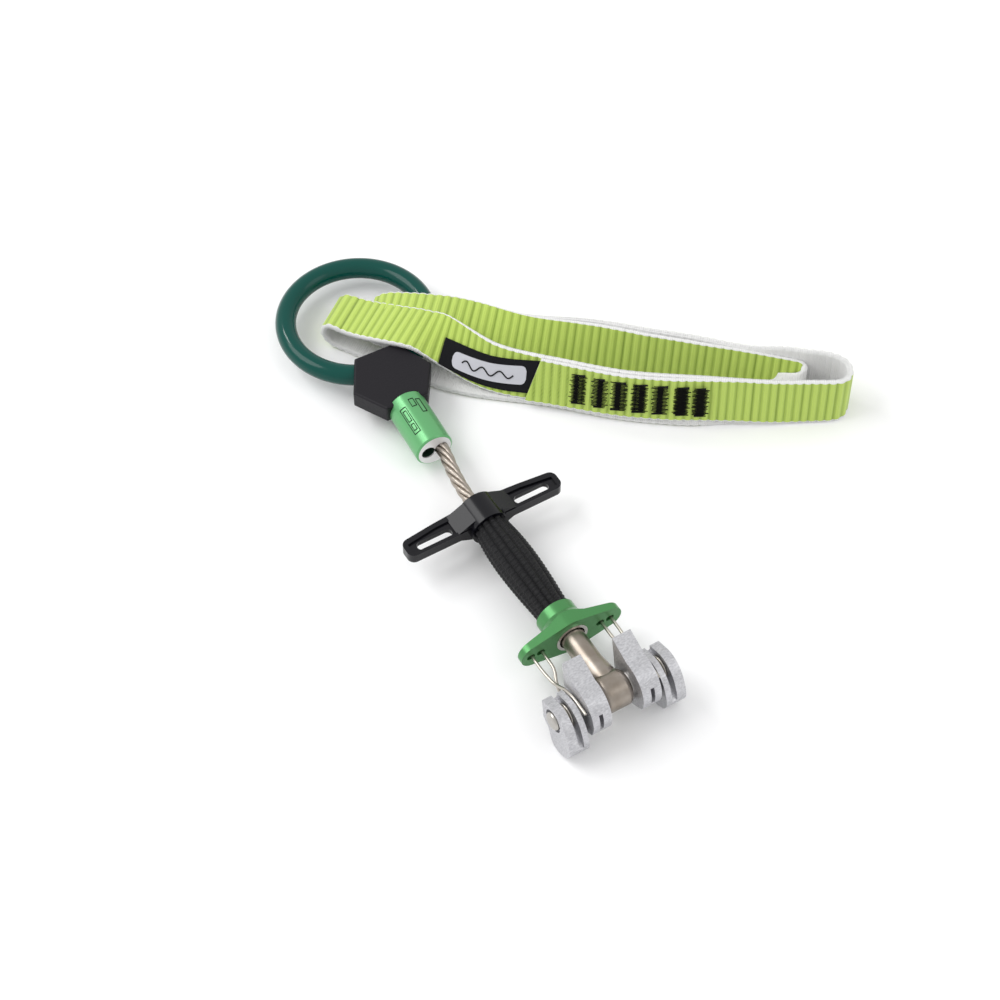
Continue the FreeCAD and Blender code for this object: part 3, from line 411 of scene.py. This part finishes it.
def tape_mesh(name, s, middle, half, closed, caps):
    """A tape over the stations s, which may differ across the width."""
    rows, cols = len(s), len(ACROSS)
    a = np.broadcast_to(ACROSS, (rows, cols))
    side = np.where(ON_TOP, 1.0, -1.0)
    depth = np.where(ON_TOP, FRONT_RIB_DEPTH, BACK_RIB_DEPTH)
    wave = np.broadcast_to(rib_wave(s), (rows, cols))
    out = middle + side * half_depth(a) * (half + depth * (wave - 1))
    points = on_tape(s, a, out).reshape(-1, 3)
    faces = lattice(rows, cols, closed=closed, caps=caps)
    mids = (ACROSS + np.roll(ACROSS, -1)) / 2
    green = ON_TOP & np.roll(ON_TOP, -1) & (np.abs(mids) < WHITE_EDGE_START)
    count = rows if closed else rows - 1
    face_mats = list(np.tile(np.where(green, 0, 1), count)) + [1] * (len(faces) - count * cols)
    uvs = np.stack([np.broadcast_to(s, (rows, cols)).ravel(), (a + 20 * (side < 0)).ravel()], 1)
    obj = mesh_object(name, points, faces, [green_mat, white_mat], face_mats, uvs)
    # the rib height, which the green material turns into painted shade and painted highlight
    ribs = obj.data.attributes.new("rib", "FLOAT", "POINT")
    ribs.data.foreach_set("value", wave.ravel())
    return obj


stations = np.linspace(0, TAPE_LENGTH, int(TAPE_LENGTH / 0.4), endpoint=False)[:, None]
sling = tape_mesh("sling_tape", stations, 0.0, TAPE_HALF, True, False)

# the sewn joint: an outer layer with a slanted cut end, which runs out under the far end
JOINT_START, JOINT_END, CUT_SLANT = 52.7, 105.0, 0.27
share = np.linspace(0, 1, 150)[:, None]
joint_start = JOINT_START + CUT_SLANT * ACROSS[None, :]
joint_s = joint_start + share * (JOINT_END - joint_start)
lift = np.interp(joint_s, [JOINT_START + 2, JOINT_END - 16, JOINT_END], [1.52, 1.45, 0.1])
flap = tape_mesh("sling_joint_layer", joint_s, lift, LAYER_HALF, False, True)


def patch(name, s_range, low, high, base, thick, mat, corner=0.0):
    """A thin flat piece on the tape between the edges low and high, given at both its ends."""
    rows, cols = 60, 14
    share = np.linspace(0, 1, rows)
    s = s_range[0] + share * (s_range[1] - s_range[0])
    lower = low[0] + share * (low[1] - low[0])
    upper = high[0] + share * (high[1] - high[0])
    if corner:
        inset = np.minimum(s - s_range[0], s_range[1] - s)
        gap = np.clip(corner - inset, 0, corner)
        pull = corner - np.sqrt(np.maximum(corner**2 - gap**2, 0))
        lower, upper = lower + pull, upper - pull
    v = np.linspace(0, 1, cols)
    ring_v = np.concatenate([v, v[::-1]])
    ring_out = np.concatenate([np.full(cols, base + thick), np.full(cols, base)])
    a = lower[:, None] + (upper - lower)[:, None] * ring_v[None, :]
    points = on_tape(s[:, None], a, ring_out[None, :]).reshape(-1, 3)
    uvs = np.stack([np.repeat(s, 2 * cols), a.ravel()], 1)
    return mesh_object(name, points, lattice(rows, 2 * cols, caps=True), [mat], None, uvs, smooth=False)


label = patch("sling_label_cloth", (27.3, 56.0), (-6.3, -4.2), (0.8, 5.6), 0.80, 0.36, label_mat)
panel = patch("sling_label_panel", (30.6, 50.8), (-5.1, -2.2), (-0.9, 3.2), 1.16, 0.08, panel_mat, corner=1.5)


def thread(name, runs, radius, mat):
    """Round threads through lists of points in millimetres."""
    curve = bpy.data.curves.new(name, "CURVE")
    curve.dimensions = "3D"
    curve.bevel_depth = radius * MM
    curve.bevel_resolution = 2
    curve.use_fill_caps = True
    for run in runs:
        spline = curve.splines.new("POLY")
        spline.points.add(len(run) - 1)
        for point, place in zip(spline.points, run):
            point.co = (*(np.asarray(place) * MM), 1)
    curve.materials.append(mat)
    obj = bpy.data.objects.new(name, curve)
    bpy.context.scene.collection.objects.link(obj)
    return obj


TACK_OUT, TACK_THREAD, WAVE_OUT, WAVE_THREAD = 2.24, 0.24, 1.27, 0.2


def bar_tack(middle, half_long=1.65, half_tall=4.4, turns=40):
    """One dense zigzag bar of stitches across the joint."""
    a = np.linspace(-half_tall, half_tall, turns)
    swing = np.where(np.arange(turns) % 2, 1.0, -1.0)
    count = np.arange(turns)
    ragged = 0.3 * np.sin(5.1 * count + middle) + 0.2 * np.sin(2.3 * count + 3 * middle)
    return on_tape(middle + swing * half_long + ragged, a, TACK_OUT)


TACKS = (64.5, 70.0, 74.9, 80.0, 85.1, 90.5, 95.3)
tack_runs = [bar_tack(middle) for middle in TACKS]
tacks = thread("bar_tacks", tack_runs, TACK_THREAD, thread_mat)
WAVE_START, WAVE_END = 33.5, 47.5
wave_s = np.linspace(WAVE_START, WAVE_END, 40)
wave_a = -2.55 + 0.16 * (wave_s - WAVE_START) + 0.85 * np.sin((wave_s - WAVE_START) * 1.35)
mark = thread("label_wave", [on_tape(wave_s, wave_a, WAVE_OUT)], WAVE_THREAD, thread_mat)


# ---------------------------------------------------------------- the stem cable

def stem_path(step=0.25):
    """Points and headings of the stem cable, from the end fitting into the barrel."""
    runs = ((60.0, 0.0), (13.82, 1 / 66), (1.5, 0.0), (3.46, -1 / 22), (7.0, 0.0))
    place, heading = np.array([0.0, 4.0]), 0.0
    points, headings = [place.copy()], [heading]
    for length, bend in runs:
        count = round(length / step)
        for _ in range(count):
            heading += bend * length / count
            place = place + length / count * np.array([math.sin(heading), math.cos(heading)])
            points.append(place.copy())
            headings.append(heading)
    return np.array(points), np.array(headings)


STEM, HEADINGS = stem_path()
STEM_ALONG = np.concatenate([[0], np.cumsum(np.linalg.norm(np.diff(STEM, axis=0), axis=1))])
STRANDS, STRAND_RADIUS, LAY = 6, 0.585, 21.0


def tube_mesh(name, centres, side_a, side_b, radius, mat, sides=10):
    """A round tube along centres, with two directions across it at each point."""
    turn = np.linspace(0, 2 * math.pi, sides, endpoint=False)
    ring = np.cos(turn)[None, :, None] * side_a[:, None, :] + np.sin(turn)[None, :, None] * side_b[:, None, :]
    points = (centres[:, None, :] + radius * ring).reshape(-1, 3)
    along = np.concatenate([[0], np.cumsum(np.linalg.norm(np.diff(centres, axis=0), axis=1))])
    uvs = np.stack([np.repeat(along, sides), np.tile(turn * radius, len(centres))], 1)
    return mesh_object(name, points, lattice(len(centres), sides, caps=True), [mat], None, uvs)


def stranded_cable():
    core = np.column_stack([STEM, np.zeros(len(STEM))])
    ahead = np.column_stack([np.sin(HEADINGS), np.cos(HEADINGS), np.zeros(len(STEM))])
    lateral = np.column_stack([np.cos(HEADINGS), -np.sin(HEADINGS), np.zeros(len(STEM))])
    up = np.tile([0.0, 0.0, 1.0], (len(STEM), 1))
    pieces = [tube_mesh("cable_core", core, lateral, up, STRAND_RADIUS, strand_mat)]
    for k in range(STRANDS):
        phase = (2 * math.pi * (STEM_ALONG / LAY + k / STRANDS))[:, None]
        spoke = np.cos(phase) * lateral + np.sin(phase) * up
        centres = core + 2 * STRAND_RADIUS * spoke
        tangent = unit(np.gradient(centres, axis=0))
        side = unit(spoke - (spoke * tangent).sum(1, keepdims=True) * tangent)
        pieces.append(tube_mesh(
            f"cable_strand_{k}", centres, side, np.cross(tangent, side), STRAND_RADIUS, strand_mat))
    return pieces


cable = stranded_cable()


# ---------------------------------------------------------------- the woven sheath

def woven_sheath():
    """A ribbed woven sleeve with a bore, swelling a little at its middle."""
    low, high, end_radius, wall = 23.5, 57.1, 4.10, 0.75
    ribs, per_rib, pick, rib_depth, pick_depth = 14, 10, 1.1, 0.55, 0.2
    y = np.linspace(low, high, 200)
    turn = np.linspace(0, 2 * math.pi, ribs * per_rib, endpoint=False)
    share = (y - low) / (high - low)
    swell = np.interp(share, [0, 0.12, 0.3, 0.45, 0.6, 0.75, 0.93, 1], [0, 0.12, 0.62, 0.9, 1, 0.8, 0.1, 0])
    swell = np.convolve(np.pad(swell, 12, mode="edge"), np.ones(25) / 25, mode="valid")
    body = end_radius + swell
    rib = np.abs(np.sin(turn * ribs / 2)) ** 0.6
    parity = np.where((turn * ribs / (2 * math.pi)).astype(int) % 2, 0.5, 0.0)
    picks = np.abs(np.sin(math.pi * (y[:, None] / pick + parity[None, :])))
    radius = body[:, None] + rib_depth * (rib[None, :] - 1) + pick_depth * picks * rib[None, :]
    level = np.broadcast_to(y[:, None], radius.shape)
    bore = np.broadcast_to((body - wall)[:, None], radius.shape)
    outer = np.stack([radius * np.cos(turn), level, radius * np.sin(turn)], -1)
    inner = np.stack([bore * np.cos(turn), level, bore * np.sin(turn)], -1)
    rows = np.concatenate([outer, inner[::-1]])
    cols = len(turn)
    uvs = np.stack([np.repeat(np.concatenate([y, y[::-1]]), cols), np.tile(turn * 4.5, 2 * len(y))], 1)
    return mesh_object("sheath_weave", rows.reshape(-1, 3), lattice(2 * len(y), cols, closed=True),
                       [braid_mat], None, uvs)


sheath = woven_sheath()


# ---------------------------------------------------------------- plain marks on the barrel

def barrel_point(turn, along, radius=5.035):
    side = Vector((math.cos(TILT), -math.sin(TILT), 0))
    spot = BARREL_FOOT / MM + along * BARREL_AXIS
    spot = spot + radius * (math.cos(turn) * side + math.sin(turn) * Vector((0, 0, 1)))
    return tuple(spot)


def barrel_outline(turns, alongs):
    """A closed rectangular line on the barrel."""
    (t0, t1), (y0, y1) = turns, alongs
    sweep = np.linspace(math.radians(t0), math.radians(t1), 9)
    ends = [barrel_point(t, y0) for t in sweep] + [barrel_point(t, y1) for t in sweep[::-1]]
    return ends + ends[:1]


marks = thread("barrel_marks", [
    barrel_outline((112, 132), (4.0, 12.5)),
    barrel_outline((117, 127), (5.0, 7.0)),
    barrel_outline((117, 127), (8.0, 11.5)),
    barrel_outline((60, 74), (9.0, 13.5)),
    barrel_outline((80, 94), (11.5, 14.0)),
], 0.11, thread_mat)


# ---------------------------------------------------------------- what stands for what

for piece in (sling, flap, label, panel, tacks, mark):
    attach(piece, "stem")
for piece in cable:
    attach(piece, "stem")
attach(marks, "stem")
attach(sheath, "trigger")
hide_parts("sling_webbing")
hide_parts("sling_label")
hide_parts("stem_cable")
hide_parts("trigger_sheath")


# ---------------------------------------------------------------- floor, light and camera

floor_mat = principled("floor_white", (0.93, 0.93, 0.935), 0.8)
bpy.ops.mesh.primitive_plane_add(size=4, location=(0, -0.0015, -0.0097))
floor = bpy.context.object
floor.name = "floor"
floor.rotation_euler = (math.atan(0.0277), 0, 0)
floor.data.materials.append(floor_mat)

world = bpy.data.worlds.new("studio")
world.use_nodes = True
world.node_tree.nodes["Background"].inputs["Color"].default_value = (1, 1, 1, 1)
world.node_tree.nodes["Background"].inputs["Strength"].default_value = 0.88
bpy.context.scene.world = world
bpy.context.scene.view_settings.view_transform = "Standard"


def area_light(name, place, target, size, power):
    lamp = bpy.data.lights.new(name, "AREA")
    lamp.shape = "DISK"
    lamp.size = size
    lamp.energy = power
    obj = bpy.data.objects.new(name, lamp)
    obj.location = place
    obj.rotation_euler = (Vector(target) - Vector(place)).to_track_quat("-Z", "Y").to_euler()
    bpy.context.scene.collection.objects.link(obj)


MIDDLE = (0.03, 0.07, 0.0)
area_light("key", (-0.45, 0.40, 0.60), MIDDLE, 0.55, 2.8)
area_light("fill", (0.55, -0.45, 0.6), MIDDLE, 0.6, 0.9)
area_light("glint", (-0.20, 0.62, 0.50), MIDDLE, 0.14, 0.7)

AIM = Vector((6.3, 61.0, 0.0)) * MM
BACK = Vector((-0.3112, -0.5200, 0.7955))
camera = bpy.data.objects.new("camera", bpy.data.cameras.new("camera"))
bpy.context.scene.collection.objects.link(camera)
camera.location = AIM + 0.6 * BACK.normalized()
camera.rotation_euler = (-BACK).to_track_quat("-Z", "Y").to_euler()
camera.data.sensor_width = 36
camera.data.lens = 88.06
camera.data.clip_start = 0.01
camera.data.clip_end = 20
bpy.context.scene.camera = camera
